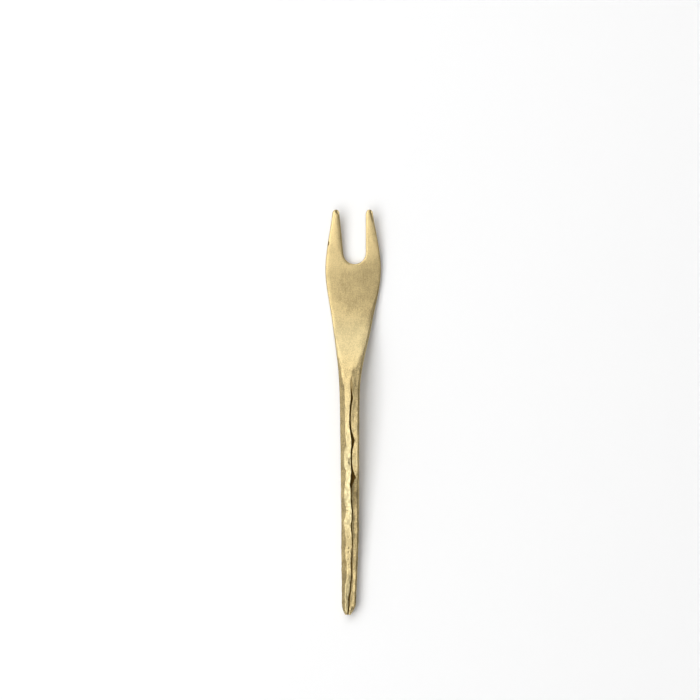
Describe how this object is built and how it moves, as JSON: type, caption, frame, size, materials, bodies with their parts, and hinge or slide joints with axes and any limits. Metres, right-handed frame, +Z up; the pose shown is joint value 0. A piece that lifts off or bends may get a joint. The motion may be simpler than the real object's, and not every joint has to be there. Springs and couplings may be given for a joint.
{
  "type": "olive fork",
  "caption": "Slim brass serving fork with a hammered, ridged handle, raised neck and flat leaf-shaped head forked into short blunt tines, for lifting olives out of a jar or dish.",
  "frame": {"origin": "on the table under the middle of the fork's outline", "axes": "+Z up from the table that the fork lies on, +Y along the fork towards the tips of the tines, +X to the right seen from the tail with the ridged side up"},
  "size_m": [0.0206, 0.15, 0.0106],
  "materials": {
    "satin_brass": "satin, hand-brushed lengthwise, with dark patina left in the cleft beside the ridge"
  },
  "bodies": {
    "root": {"olive_fork": "satin_brass"}
  },
  "joints": []
}
